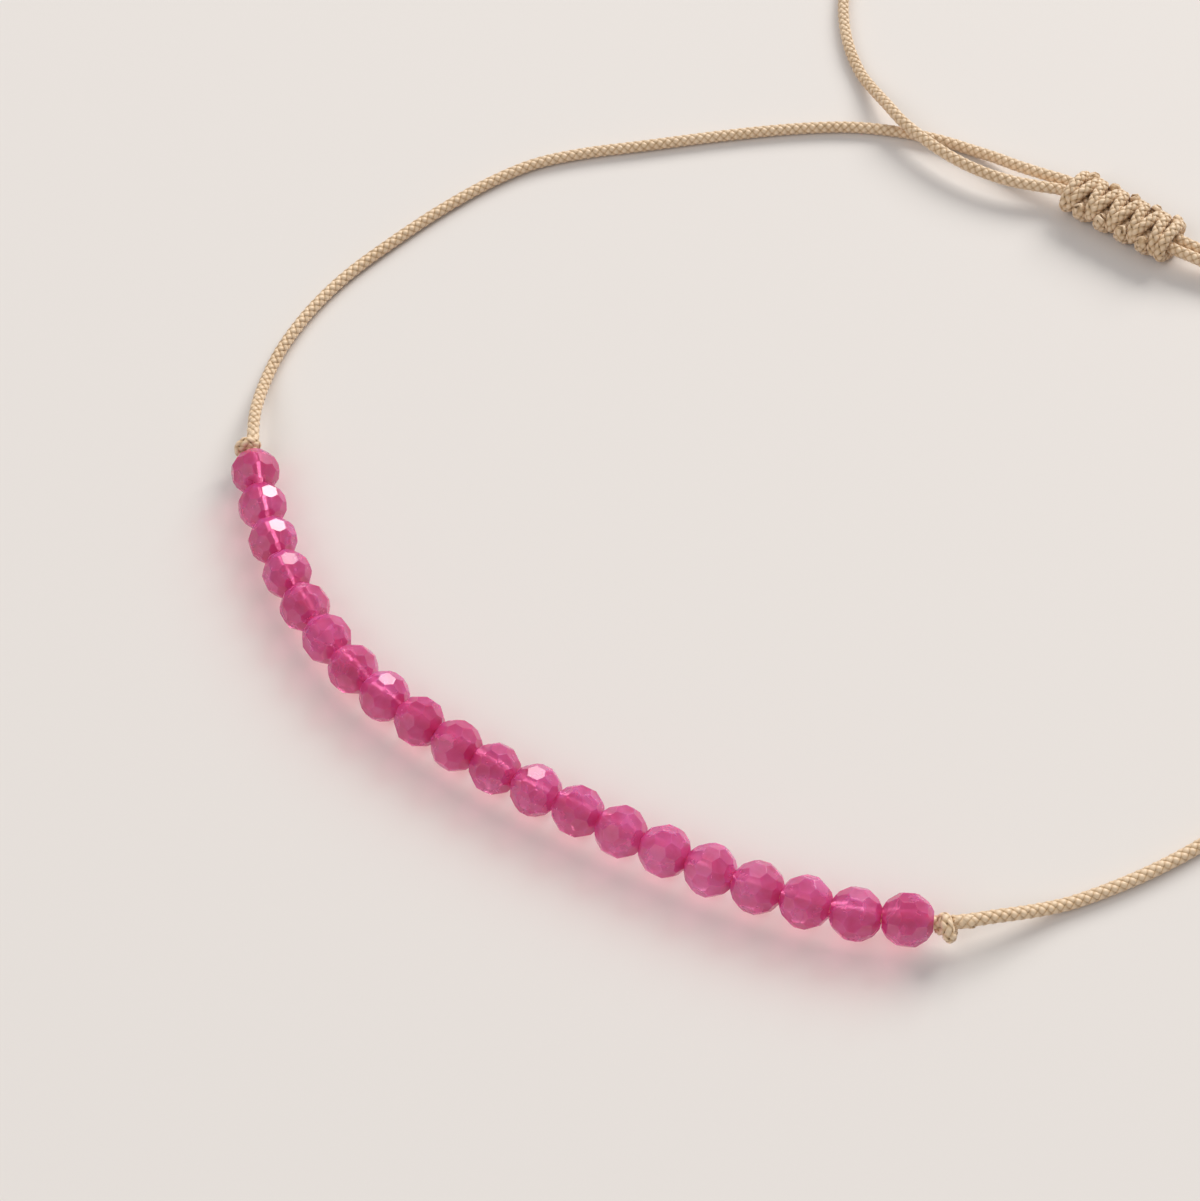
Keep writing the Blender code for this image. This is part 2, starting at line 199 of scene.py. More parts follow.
def make_yarn_material():
    material, graph, shader = new_material("braided nylon")
    rise = graph.node("ShaderNodeAttribute", {"attribute_name": "rise"}, output="Fac")
    along = graph.node("ShaderNodeAttribute", {"attribute_name": "along"}, output="Fac")
    around = graph.node("ShaderNodeAttribute", {"attribute_name": "around"}, output="Vector")
    forward = graph.node("ShaderNodeCombineXYZ", values={"Z": along * (1 / FILAMENT_LENGTH)})
    place = around * FILAMENTS + forward
    settings = {"noise_dimensions": "3D"}
    values = {"Vector": place, "Scale": 1.0, "Detail": 3.0, "Roughness": 0.6}
    filaments = graph.node("ShaderNodeTexNoise", settings, values)
    where = graph.node("ShaderNodeTexCoord", output="Object")
    slow = graph.node("ShaderNodeTexNoise", settings, {"Vector": where, "Scale": 1 / TONE_SIZE})
    height = rise + (filaments - 0.5) * TONE_CONTRAST + (slow - 0.5) * TONE_CONTRAST
    # Painted shade where a yarn dives and painted light where it crests, chosen by its height in the braid.
    shaded = height.between(*DIVE_RANGE).blend(YARN_CREVICE_SHADE, YARN_MIDDLE)
    colour = height.between(*CREST_RANGE).blend(shaded, YARN_CREST_LIGHT)
    graph.feed(shader.inputs["Base Color"], colour)
    graph.feed(shader.inputs["Roughness"], YARN_ROUGHNESS + filaments * 0.2)
    values = {"Height": filaments, "Strength": 0.4, "Distance": FILAMENT_RELIEF}
    graph.feed(shader.inputs["Normal"], graph.node("ShaderNodeBump", values=values))
    shader.inputs["Sheen Weight"].default_value = 0.25
    shader.inputs["Sheen Roughness"].default_value = 0.4
    shader.inputs["Specular IOR Level"].default_value = 0.6
    return material


yarn = make_yarn_material()
print(yarn.name, "has", len(yarn.node_tree.nodes), "nodes")

# %% [markdown]
# ## The braid
#
# The cord is a round braid of eight flat yarns. Four wind to the left and four to the right, and each goes
# over one and under the next, so that from any side the eye sees rows of slanting ovals, like an ear of
# wheat. Modelling each oval would be slow. The rule of the braid is short, so Geometry Nodes follow it: a
# yarn's distance from the cord's middle grows and shrinks four times in each turn, and the two families of
# yarns are half a beat apart. The nodes read a route, which is a chain of edges with two attributes on its
# points: the direction that a row of ovals should face, and the cord's thickness there as a share.

# %% The braid's node tree
YARNS_EACH_WAY = 4
YARN_WIDTH_SHARE = 0.47                # half a yarn's width, as a share of the cord's radius
YARN_THICKNESS_SHARE = 0.23            # half its thickness
SWING_SHARE = 0.11                     # how far a yarn rises and dives
YARN_SIDES = 6
STEPS_IN_A_TURN = 30


def make_braid_tree():
    tree = bpy.data.node_groups.new("round braid of eight yarns", "GeometryNodeTree")
    sockets = tree.interface
    sockets.new_socket("Route", in_out="INPUT", socket_type="NodeSocketGeometry")
    sockets.new_socket("Cord Radius", in_out="INPUT", socket_type="NodeSocketFloat")
    sockets.new_socket("Turn Length", in_out="INPUT", socket_type="NodeSocketFloat")
    sockets.new_socket("Material", in_out="INPUT", socket_type="NodeSocketMaterial")
    sockets.new_socket("Braid", in_out="OUTPUT", socket_type="NodeSocketGeometry")
    inputs = tree.nodes.new("NodeGroupInput")
    route, cord_radius, turn_length, material = (Wire(tree, socket) for socket in inputs.outputs[:4])
    graph = Wire(tree)

    def stored(geometry, name, kind, value):
        values = {"Geometry": geometry, "Name": name, "Value": value}
        return graph.node("GeometryNodeStoreNamedAttribute", {"data_type": kind}, values)

    def named(name, kind):
        return graph.node("GeometryNodeInputNamedAttribute", {"data_type": kind}, {"Name": name})

    curve = graph.node("GeometryNodeMeshToCurve", values={"Mesh": route})
    values = {"Curve": curve, "Length": turn_length / STEPS_IN_A_TURN}
    curve = graph.node("GeometryNodeResampleCurve", {"mode": "LENGTH"}, values)
    distance = graph.node("GeometryNodeSplineParameter", output="Length")
    position = graph.node("GeometryNodeInputPosition")
    curve = stored(curve, "along", "FLOAT", distance)
    curve = stored(curve, "middle", "FLOAT_VECTOR", position)
    tangent = graph.node("GeometryNodeInputTangent")
    wish = named("wish", "FLOAT_VECTOR")
    thickness = named("thickness", "FLOAT")
    leaning = tangent * wish.vector("DOT_PRODUCT", tangent, output="Value")
    facing = (wish - leaning).vector("NORMALIZE")
    across = tangent.vector("CROSS_PRODUCT", facing)
    turning = distance * math.tau / turn_length
    profile = graph.node("GeometryNodeCurvePrimitiveCircle", values={"Resolution": YARN_SIDES})
    profile = stored(profile, "around", "FLOAT_VECTOR", position)
    half_sizes = graph.node(
        "ShaderNodeCombineXYZ",
        values={"X": cord_radius * YARN_THICKNESS_SHARE, "Y": cord_radius * YARN_WIDTH_SHARE},
    )
    values = {"Geometry": profile, "Position": position.vector("MULTIPLY", half_sizes)}
    profile = graph.node("GeometryNodeSetPosition", values=values)
    mean_reach = 1 - YARN_THICKNESS_SHARE - SWING_SHARE
    join = tree.nodes.new("GeometryNodeJoinGeometry")
    for direction in (1, -1):
        for number in range(YARNS_EACH_WAY):
            angle = turning * direction + math.tau * number / YARNS_EACH_WAY
            weave = (angle * YARNS_EACH_WAY).math("COSINE") * (SWING_SHARE * direction)
            reach = (weave + mean_reach) * cord_radius * thickness
            spoke = facing * angle.math("COSINE") + across * angle.math("SINE")
            values = {"Curve": curve, "Normal": spoke}
            strand = graph.node("GeometryNodeSetCurveNormal", {"mode": "FREE"}, values)
            values = {"Geometry": strand, "Offset": spoke * reach}
            strand = graph.node("GeometryNodeSetPosition", values=values)
            values = {"Curve": strand, "Profile Curve": profile, "Scale": thickness, "Fill Caps": True}
            surface = graph.node("GeometryNodeCurveToMesh", values=values)
            tree.links.new(surface.socket, join.inputs[0])
    braid = Wire(tree, join.outputs[0])
    reach = position.vector("DISTANCE", named("middle", "FLOAT_VECTOR"), output="Value")
    braid = stored(braid, "rise", "FLOAT", reach / (cord_radius * thickness))
    braid = graph.node("GeometryNodeSetShadeSmooth", values={"Geometry": braid})
    braid = graph.node("GeometryNodeRealizeInstances", values={"Geometry": braid})
    braid = graph.node("GeometryNodeSetMaterial", values={"Geometry": braid, "Material": material})
    outputs = tree.nodes.new("NodeGroupOutput")
    tree.links.new(braid.socket, outputs.inputs[0])
    return tree


braid_tree = make_braid_tree()
print(braid_tree.name, "has", len(braid_tree.nodes), "nodes")

# %% [markdown]
# ## From a route to a piece
#
# A route is worked out in Python as points with a direction to face and a thickness. Most pieces need one,
# and the knotted clasp needs six. The modifier's result is copied to a plain mesh, the modifier is dropped
# with its object, and the new piece takes the place of the plain solid.

# %% Making a braided piece
CORD_RADIUS = 0.00035
TURN_LENGTH = 0.0019                   # four ovals of one row


def add_piece(name, mesh, replaced):
    piece = bpy.data.objects.new(name, mesh)
    bpy.context.scene.collection.objects.link(piece)
    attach(piece, "root")
    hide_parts(*replaced)
    return piece


def make_braid(name, cords, replaced, radius=CORD_RADIUS):
    """One mesh of braided cords. A cord is a list of (point, wished direction, thickness)."""
    points, edges, wishes, thickness = [], [], [], []
    for cord in cords:
        edges += [(len(points) + i, len(points) + i + 1) for i in range(len(cord) - 1)]
        for place, wish, share in cord:
            points.append(place)
            wishes += list(wish)
            thickness.append(share)
    route = bpy.data.meshes.new(name + "_route")
    route.from_pydata(points, edges, [])
    route.attributes.new("wish", "FLOAT_VECTOR", "POINT").data.foreach_set("vector", wishes)
    route.attributes.new("thickness", "FLOAT", "POINT").data.foreach_set("value", thickness)
    guide = bpy.data.objects.new(name + "_route", route)
    bpy.context.scene.collection.objects.link(guide)
    modifier = guide.modifiers.new("braid", "NODES")
    modifier.node_group = braid_tree
    settings = {"Cord Radius": radius, "Turn Length": TURN_LENGTH, "Material": yarn}
    for socket in braid_tree.interface.items_tree:
        if socket.name in settings:
            modifier[socket.identifier] = settings[socket.name]
    depsgraph = bpy.context.evaluated_depsgraph_get()
    mesh = bpy.data.meshes.new_from_object(guide.evaluated_get(depsgraph))
    bpy.data.objects.remove(guide)
    piece = add_piece(name, mesh, replaced)
    print(name, "has", len(mesh.polygons), "faces")
    return piece

# %% [markdown]
# ## The route of the cord
#
# A cord can be laid by a simulation, or drawn. Here it is drawn: the photograph shows nearly the whole
# ring, and the model's solids already follow the same chosen points. A centripetal Catmull-Rom curve runs
# through them without overshooting. The list of levels says how high the cord lies: up at the holes of
# the stones, down on the table, and up again through the clasp.

# %% Sizes of the bracelet, and the chosen points of its cord
BEAD_COUNT = 20
BEAD_LENGTH = 0.00235
BEAD_GAP = 0.00006
CORD_DIAMETER = 2 * CORD_RADIUS
THREADED_RADIUS = 0.00025
TOUCH_GAP = 0.00006
KNOT_LENGTH = 0.0013
KNOT_RADIUS = 0.00075
KNOT_BULGE = 0.00030
CLASP_LENGTH = 0.0070
PASSAGE_HEIGHT = 0.00103
KNOT_SLOPE = 0.0060
CLASP_SLOPE = 0.0070
CROSSING_SLOPE = 0.0055
TAIL_LENGTH = 0.0320
CLASP_CENTRE = Vector((0.0203, 0.0167))
CLASP_HEADING = math.radians(-46)
CLASP_LEAD = 0.0004
HIDDEN_LENGTH = 0.0005                 # by which a cord runs on, out of sight in a knot or the clasp
ROUTE_STEP = 0.0002
SMOOTHING_STEPS = 14

LEFT_ARM = [
    (0.0167, 0.0206), (0.0155, 0.0216), (0.0139, 0.0231), (0.0118, 0.0246), (0.0094, 0.0258),
    (0.0066, 0.0267), (0.0034, 0.0271), (-0.0010, 0.0272), (-0.0055, 0.0271), (-0.0096, 0.0270),
    (-0.0123, 0.0266), (-0.0148, 0.0256), (-0.0177, 0.0239), (-0.0209, 0.0216), (-0.0239, 0.0191),
    (-0.0262, 0.0164), (-0.0280, 0.0132), (-0.0288, 0.0100), (-0.0290, 0.0072),
]
BEAD_ROW = [
    (-0.0289, 0.0048), (-0.0280, 0.0000), (-0.0264, -0.0045), (-0.0241, -0.0086), (-0.0210, -0.0121),
    (-0.0175, -0.0153), (-0.0136, -0.0183), (-0.0096, -0.0211), (-0.0055, -0.0236), (-0.0011, -0.0256),
    (0.0012, -0.0262),
]
RIGHT_ARM = [
    (0.0036, -0.0266), (0.0058, -0.0264), (0.0081, -0.0260), (0.0106, -0.0254), (0.0131, -0.0246),
    (0.0157, -0.0235), (0.0190, -0.0217), (0.0225, -0.0192), (0.0254, -0.0160), (0.0276, -0.0124),
    (0.0291, -0.0084), (0.0299, -0.0042), (0.0301, 0.0001), (0.0295, 0.0043), (0.0280, 0.0082),
    (0.0258, 0.0112),
]
LEFT_TAIL = [
    (0.0161, 0.0197), (0.0147, 0.0203), (0.0134, 0.0211), (0.0122, 0.0221), (0.0111, 0.0233),
    (0.0101, 0.0247), (0.0092, 0.0262), (0.0086, 0.0278), (0.0081, 0.0294), (0.0076, 0.0313),
    (0.0073, 0.0334), (0.0073, 0.0356), (0.0076, 0.0379), (0.0082, 0.0402), (0.0090, 0.0424),
    (0.0100, 0.0446),
]
RIGHT_TAIL = [
    (0.0257, 0.0124), (0.0286, 0.0109), (0.0318, 0.0105), (0.0349, 0.0111), (0.0377, 0.0127),
    (0.0399, 0.0150), (0.0413, 0.0178), (0.0419, 0.0208), (0.0419, 0.0239), (0.0414, 0.0270),
    (0.0406, 0.0300),
]

# %% Lines and levels
def smooth(points):
    """A centripetal Catmull-Rom curve through the points, as short straight pieces."""
    points = [2 * points[0] - points[1]] + points + [2 * points[-1] - points[-2]]
    line = [points[1]]
    for a, b, c, d in zip(points, points[1:], points[2:], points[3:]):
        knot_b = math.sqrt((b - a).length)
        knot_c = knot_b + math.sqrt((c - b).length)
        knot_d = knot_c + math.sqrt((d - c).length)
        for step in range(1, SMOOTHING_STEPS + 1):
            t = knot_b + (knot_c - knot_b) * step / SMOOTHING_STEPS
            ab = a.lerp(b, t / knot_b)
            bc = b.lerp(c, (t - knot_b) / (knot_c - knot_b))
            cd = c.lerp(d, (t - knot_c) / (knot_d - knot_c))
            abc = ab.lerp(bc, t / knot_c)
            bcd = bc.lerp(cd, (t - knot_b) / (knot_d - knot_b))
            line.append(abc.lerp(bcd, (t - knot_b) / (knot_c - knot_b)))
    return line


class Line:
    """A smooth line through chosen points, read by the distance along it."""

    def __init__(self, points):
        self.points = smooth([Vector(point).to_3d() for point in points])
        self.reach = [0.0]
        for start, end in zip(self.points, self.points[1:]):
            self.reach.append(self.reach[-1] + (end - start).length)

    def at(self, distance):
        for index in range(1, len(self.reach)):
            if distance <= self.reach[index]:
                break
        step = self.reach[index] - self.reach[index - 1]
        share = (distance - self.reach[index - 1]) / step
        return self.points[index - 1].lerp(self.points[index], share)

    def heading(self, distance):
        half_step = BEAD_LENGTH / 4
        return (self.at(distance + half_step) - self.at(distance - half_step)).normalized()

    def nearest(self, point):
        index = min(range(len(self.points)), key=lambda i: (self.points[i] - point).length)
        return self.reach[index]

    def crossing(self, other, start):
        """Distance along this line, past a start, at which it comes closest to the other line."""
        beyond = [i for i, distance in enumerate(self.reach) if distance > start]
        index = min(beyond, key=lambda i: min((self.points[i] - point).length for point in other.points))
        return self.reach[index]


def height_at(levels, distance):
    """Height over the table, eased from one (distance, height) row of levels to the next."""
    if distance <= levels[0][0]:
        return levels[0][1]
    for (start, low), (end, high) in zip(levels, levels[1:]):
        if distance <= end:
            share = (distance - start) / (end - start)
            return low + (high - low) * share * share * (3 - 2 * share)
    return levels[-1][1]


def clasp_strand(side):
    """Points of the strand on one side of the clasp's middle, from its left mouth to its right one."""
    along = Vector((math.cos(CLASP_HEADING), math.sin(CLASP_HEADING)))
    across = Vector((-along.y, along.x))
    middle = CLASP_CENTRE + across * (CORD_DIAMETER + TOUCH_GAP) / 2 * side
    half = CLASP_LENGTH / 2
    stations = (-half - CLASP_LEAD, -half, 0, half, half + CLASP_LEAD)
    return [middle + along * station for station in stations]


def laid(line, start, end, levels):
    """A cord along a line, as make_braid takes it. A row of its ovals faces the camera."""
    count = math.ceil((end - start) / ROUTE_STEP) + 1
    cord = []
    for index in range(count):
        distance = start + (end - start) * index / (count - 1)
        place = line.at(distance)
        place.z = height_at(levels, distance)
        cord.append((place, camera_back, 1.0))
    return cord


outer_strand = clasp_strand(1)
inner_strand = clasp_strand(-1)
loop = Line(outer_strand[::-1] + LEFT_ARM + BEAD_ROW + RIGHT_ARM + inner_strand[::-1])
row_middle = (loop.nearest(Vector((*BEAD_ROW[0], 0))) + loop.nearest(Vector((*BEAD_ROW[-1], 0)))) / 2
row_half_length = (BEAD_COUNT * (BEAD_LENGTH + BEAD_GAP) - BEAD_GAP) / 2
row_start = row_middle - row_half_length - BEAD_GAP
row_end = row_middle + row_half_length + BEAD_GAP
low_corner, high_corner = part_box("bead_cord")
row_height = (low_corner.z + high_corner.z) / 2
print(f"loop {loop.reach[-1] * 1000:.1f} mm, bead row at {row_height * 1000:.2f} mm")

# %% [markdown]
# ## The two arms and the cord through the stones
#
# Each arm comes down from its knot to the table and climbs again into the clasp.

# %% The arms
left_mouth = CLASP_LEAD + CLASP_LENGTH
right_mouth = loop.reach[-1] - CLASP_LEAD - CLASP_LENGTH
left_knot = row_start - KNOT_LENGTH - TOUCH_GAP
right_knot = row_end + KNOT_LENGTH + TOUCH_GAP
loop_levels = [
    (left_mouth + CLASP_LEAD, PASSAGE_HEIGHT),
    (left_mouth + CLASP_LEAD + CLASP_SLOPE, CORD_RADIUS),
    (left_knot - KNOT_SLOPE, CORD_RADIUS),
    (left_knot, row_height),
    (right_knot, row_height),
    (right_knot + KNOT_SLOPE, CORD_RADIUS),
    (right_mouth - CLASP_LEAD - CLASP_SLOPE, CORD_RADIUS),
    (right_mouth - CLASP_LEAD, PASSAGE_HEIGHT),
]
inside_clasp = CLASP_LEAD + HIDDEN_LENGTH
arm_left = laid(loop, inside_clasp, left_knot + HIDDEN_LENGTH, loop_levels)
arm_right = laid(loop, right_knot - HIDDEN_LENGTH, loop.reach[-1] - inside_clasp, loop_levels)
make_braid("braided_arm_left", [arm_left], ["cord_left"])
make_braid("braided_arm_right", [arm_right], ["cord_right"])

threaded = laid(loop, row_start - HIDDEN_LENGTH, row_end + HIDDEN_LENGTH, [(0.0, row_height)])
make_braid("braided_cord_in_beads", [threaded], ["bead_cord"], radius=THREADED_RADIUS)

# %% [markdown]
# ## An overhand knot
#
# Pulled tight, an overhand knot looks like a short barrel: the cord runs in through the middle, turns
# back, winds once round itself on the outside, and leaves through the middle. So its route is a straight
# core, a turn outwards, a helix that runs back, and the core again. On these knots one thick band of the
# cord crosses the side that the eye sees, so the helix is turned until its middle faces the camera.

# %% Knots
KNOTTED_SHARE = 0.97                   # thickness of the squeezed cord in a knot
KNOT_TURNS = 0.95                      # of the outer winding
WINDING_HALF_LENGTH = 0.00024          # how far the winding's ends are from its middle, along the cord
WINDING_PUSH = 0.00010                 # of the winding's middle towards the row of stones
WINDING_STEPS = 12


def knot_route(middle, along, outer, height, push):
    """The route of a tight overhand knot, as make_braid takes it.

    Each row of its shape is a station along the knot, the reach from its middle as a share of the winding's
    radius, the angle round it, the share of the sideways bulge, and the cord's thickness there.
    """
    up = Vector((0, 0, 1))
    across = Vector((-along.y, along.x, 0)) * outer
    middle = middle + up * height
    half = KNOT_LENGTH / 2
    squeezed = CORD_RADIUS * KNOTTED_SHARE
    wound_radius = KNOT_RADIUS - squeezed
    to_camera = CAMERA_PLACE - middle
    first = math.atan2(to_camera.z, to_camera.dot(across)) - math.pi * KNOT_TURNS
    last = first + math.tau * KNOT_TURNS
    shape = [
        (-half - HIDDEN_LENGTH, 0, first, 0.0, 1.0),
        (-half, 0, first, 0.0, 1.0),
        (0, 0.2, first - 1.2, 0.3, KNOTTED_SHARE),
        (push + WINDING_HALF_LENGTH * 1.2, 0.7, first - 0.7, 0.7, KNOTTED_SHARE),
    ]
    for step in range(WINDING_STEPS + 1):
        share = step / WINDING_STEPS
        angle = first + math.tau * KNOT_TURNS * share
        shape.append((push + WINDING_HALF_LENGTH * (1 - 2 * share), 1.0, angle, 1.0, KNOTTED_SHARE))
    shape += [
        (push - WINDING_HALF_LENGTH * 1.2, 0.7, last + 0.7, 0.7, KNOTTED_SHARE),
        (0, 0.2, last + 1.2, 0.3, KNOTTED_SHARE),
        (half, 0, last, 0.0, 1.0),
        (half + HIDDEN_LENGTH, 0, last, 0.0, 1.0),
    ]
    places = []
    for station, reach, angle, bulge, _ in shape:
        spoke = across * math.cos(angle) + up * math.sin(angle)
        place = middle + along * station + spoke * wound_radius * reach
        places.append(place + across * KNOT_BULGE * bulge)
    core = middle + across * KNOT_BULGE
    line = smooth(places)
    cord = []
    for index, place in enumerate(line):
        thickness = shape[min(len(shape) - 1, index // SMOOTHING_STEPS)][4]
        spoke = place - core
        spoke -= along * spoke.dot(along)
        wish = spoke.normalized() if spoke.length > wound_radius / 2 else camera_back
        cord.append((place, wish, thickness))
    return cord


def make_knot(name, line, start, outer, height, replaced, push=0.0):
    middle = start + KNOT_LENGTH / 2
    route = knot_route(line.at(middle), line.heading(middle), outer, height, push)
    return make_braid(name, [route], [replaced])


make_knot("overhand_knot_left", loop, row_start - KNOT_LENGTH, -1, row_height, "knot_left", WINDING_PUSH)
make_knot("overhand_knot_right", loop, row_end, -1, row_height, "knot_right", -WINDING_PUSH)

# %% [markdown]
# ## The free ends
#
# Both ends of the cord leave the clasp and lie loose on the table. The left one climbs over the arm
# beside it. Each has its real length and ends in a knot.

# %% Free ends and their knots
knot_height = KNOT_RADIUS
tail_start = CLASP_LEAD + CLASP_LENGTH + TOUCH_GAP
tail_end = tail_start + TAIL_LENGTH
over_strand = CORD_RADIUS + CORD_DIAMETER + TOUCH_GAP
left_line = Line(inner_strand[::-1] + LEFT_TAIL)
right_line = Line(outer_strand + RIGHT_TAIL)
crossing = left_line.crossing(loop, tail_start + CLASP_SLOPE)
left_levels = [
    (tail_start, PASSAGE_HEIGHT),
    (crossing - CORD_DIAMETER, over_strand),
    (crossing + CORD_DIAMETER, over_strand),
    (crossing + CORD_DIAMETER + CROSSING_SLOPE, CORD_RADIUS),
    (tail_end - CLASP_LEAD, CORD_RADIUS),
    (tail_end, knot_height),
]
right_levels = [
    (tail_start, PASSAGE_HEIGHT),
    (tail_start + CLASP_SLOPE, CORD_RADIUS),
    (tail_end - CLASP_LEAD, CORD_RADIUS),
    (tail_end, knot_height),
]


def make_free_end(side, line, levels):
    route = laid(line, tail_start - HIDDEN_LENGTH, tail_end + HIDDEN_LENGTH, levels)
    piece = make_braid(f"free_end_{side}", [route], [f"tail_{side}"])
    knot = make_knot(
        f"stopper_knot_{side}", line, tail_end + TOUCH_GAP, 1, knot_height, f"tail_knot_{side}"
    )


make_free_end("left", left_line, left_levels)
make_free_end("right", right_line, right_levels)

# %% [markdown]
# ## The sliding clasp
#
# The clasp is a row of square knots that a second piece of the same cord makes round both strands. In a
# square knot one end of it always crosses over the strands and the other always under them, and they
# change sides each time. So two routes in the clasp's own frame make it, with one turn more round
# everything at either end, where the cord starts and stops. The cord between the knots packs the sides,
# so two straight routes fill them.

# %% Square knots round the strands
TYING_RADIUS = 0.00034
CLASP_HALF_WIDTH = 0.00110             # from the clasp's middle to the middle of the cord at its side
CLASP_HALF_HEIGHT = 0.00066
END_WRAP_LENGTH = 0.00072              # of the clasp that each end wrap takes
END_WRAP_TURNS = 1.12
END_WRAP_STEPS = 14
END_WRAP_REACH = 1.05                  # out from the middle, as a share of the half width and half height
END_WRAP_CREEP = 0.9                   # along the clasp in one wrap, as a share of the tying cord's radius
TUCKED_REACH = 0.72                    # of a wrap's two ends, and of the cord that packs the sides
HIDDEN_REACH = 0.35                    # of the tying cord's ends, inside the clasp
SQUARE_KNOTS = 4
half_knot = (CLASP_LENGTH - 2 * END_WRAP_LENGTH) / (2 * SQUARE_KNOTS)
clasp_along = Vector((math.cos(CLASP_HEADING), math.sin(CLASP_HEADING), 0))
clasp_across = Vector((-clasp_along.y, clasp_along.x, 0))
clasp_middle = CLASP_CENTRE.to_3d() + Vector((0, 0, PASSAGE_HEIGHT))

# One half knot: station in half knots, then across and up as shares of the half width and half height
OVER_STEPS = [(0.0, -1.0, -0.1), (0.16, -0.86, 0.62), (0.34, -0.45, 0.98), (0.5, 0.0, 1.04),
              (0.66, 0.45, 0.98), (0.84, 0.86, 0.62)]
UNDER_STEPS = [(0.0, 1.12, 0.55), (0.12, 1.10, -0.1), (0.28, 0.72, -0.9), (0.5, 0.0, -1.0),
               (0.72, -0.72, -0.9), (0.88, -1.10, -0.1)]


def clasp_place(station, across, up):
    return (clasp_middle + clasp_along * station + clasp_across * across * CLASP_HALF_WIDTH
            + Vector((0, 0, up * CLASP_HALF_HEIGHT)))


def wound(shape):
    """A tying cord through (station, across, up) rows. A row of its ovals faces out from the clasp."""
    line = smooth([clasp_place(*row) for row in shape])
    cord = []
    for place in line:
        spoke = place - clasp_middle
        spoke -= clasp_along * spoke.dot(clasp_along)
        cord.append((place, spoke.normalized(), 1.0))
    return cord


def half_knots(steps):
    """One end of the tying cord through all its half knots, from and to a place inside the clasp."""
    first = -CLASP_LENGTH / 2 + END_WRAP_LENGTH
    last = -first
    _, across, up = steps[0]
    rows = [(first - HIDDEN_LENGTH / 2, across * HIDDEN_REACH, up * HIDDEN_REACH)]
    for number in range(2 * SQUARE_KNOTS):
        side = 1 if number % 2 == 0 else -1
        rows += [(first + (number + share) * half_knot, side * row[0], row[1]) for share, *row in steps]
    rows.append((last, across, up))
    rows.append((last + HIDDEN_LENGTH / 2, across * HIDDEN_REACH, up * HIDDEN_REACH))
    return rows


def end_wrap(centre, hand):
    """One turn round everything. It starts under the strands and creeps by less than its own width."""
    rows = []
    for step in range(END_WRAP_STEPS + 1):
        share = step / END_WRAP_STEPS
        angle = math.tau * END_WRAP_TURNS * share - math.pi / 2
        reach = TUCKED_REACH if share in (0, 1) else END_WRAP_REACH
        station = centre + hand * TYING_RADIUS * END_WRAP_CREEP * (share - 0.5)
        rows.append((station, reach * math.cos(angle), reach * math.sin(angle)))
    return rows


end_centre = CLASP_LENGTH / 2 - TYING_RADIUS
clasp_cords = [
    wound(half_knots(OVER_STEPS)),
    wound(half_knots(UNDER_STEPS)),
    wound(end_wrap(-end_centre, 1)),
    wound(end_wrap(end_centre, 1)),
]
for side in (TUCKED_REACH, -TUCKED_REACH):
    clasp_cords.append(wound([(-end_centre, side, 0.0), (0.0, side, 0.0), (end_centre, side, 0.0)]))
make_braid("square_knots", clasp_cords, ["sliding_clasp"], radius=TYING_RADIUS)

# %% [markdown]
# ## The stones
#
# A cut stone gets its life from flat facets with crisp edges and from light that passes through it. The
# solids already have the facets, so each stone is a copy of its solid with its loose triangles merged and
# its edges polished by a very small bevel. The stone is milky: part of the light is bent and passes
# through, and part wanders about inside and comes out again pink, which makes it glow. So its shader
# mixes transmission with subsurface scattering under a clear, sharp coat. Faint clouds change its tone.
# A full coat would mirror this scene's pale table and room in every facet that is seen at a slant, and the
# stones would get pale rims. So the coat's gloss fades there, and the rims keep their own pink.
# Cycles doesn't send lamp light straight through glass to the table, so for shadow rays alone the stone
# counts as a pink filter, and its shadow is as pale and pink as a real one.

# %% The stone's material
STONE_DEEP = (0.60, 0.055, 0.225, 1)
STONE_CLEAR = (0.74, 0.145, 0.42, 1)
STONE_TONE_SIZE = 0.0036               # of the changes of tone, about one and a half stones
CLOUD_SIZE = 0.0011
LIGHTNESS_RANGE = (0.36, 0.66)         # of tone and clouds together, from the deep to the clear tone
MILKY_RANGE = (0.45, 0.75)             # of the clouds alone, from the clearest to the milkiest place
STONE_ROUGHNESS = 0.22                 # in the clearest place
MILKY_ROUGHNESS = 0.12                 # added to it in the milkiest place
STONE_GLOW_DEPTH = 0.0011              # how far light wanders inside
STONE_GLOW_REACH = (1.0, 0.22, 0.45)   # how far red, green and blue light wander, against each other
STONE_SHADOW = (0.85, 0.70, 0.69, 1)   # what each side of a stone lets through to the table
SLANT_RANGE = (0.25, 0.75)             # of the slant over which the coat's gloss fades
RIM_SOFTENING = 0.85                   # how much of the coat's gloss is gone where a facet is seen edge-on


